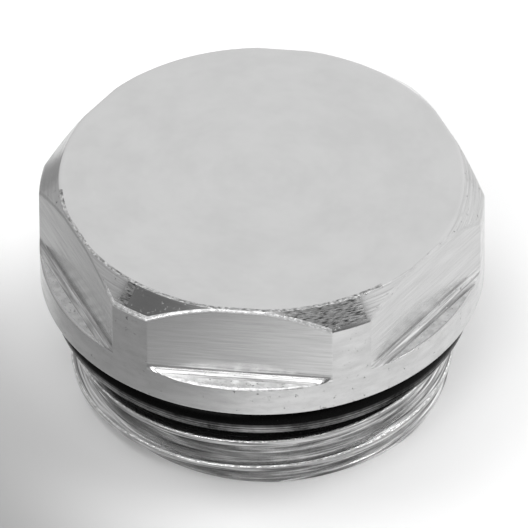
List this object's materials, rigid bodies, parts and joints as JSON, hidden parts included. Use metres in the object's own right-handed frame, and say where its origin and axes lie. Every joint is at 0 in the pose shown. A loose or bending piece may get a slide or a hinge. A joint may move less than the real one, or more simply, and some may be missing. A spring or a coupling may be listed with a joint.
{
  "type": "blanking plug",
  "caption": "Chrome-plated blanking plug with a low hexagon head, a short parallel pipe thread and a rubber sealing ring under the head, for closing an unused radiator port.",
  "frame": {"origin": "centre of the threaded end's face, on which the plug stands", "axes": "+Z along the plug's axis from the threaded end to the head, +Y through the middle of a flat, +X through a corner between two flats"},
  "size_m": [0.0242, 0.0242, 0.0132],
  "materials": {
    "chrome_plate": "bright chrome plate over turned and milled brass",
    "seal_rubber": "smooth moulded black nitrile rubber"
  },
  "bodies": {
    "root": {"plug_body": "chrome_plate", "o_ring": "seal_rubber"}
  },
  "joints": []
}
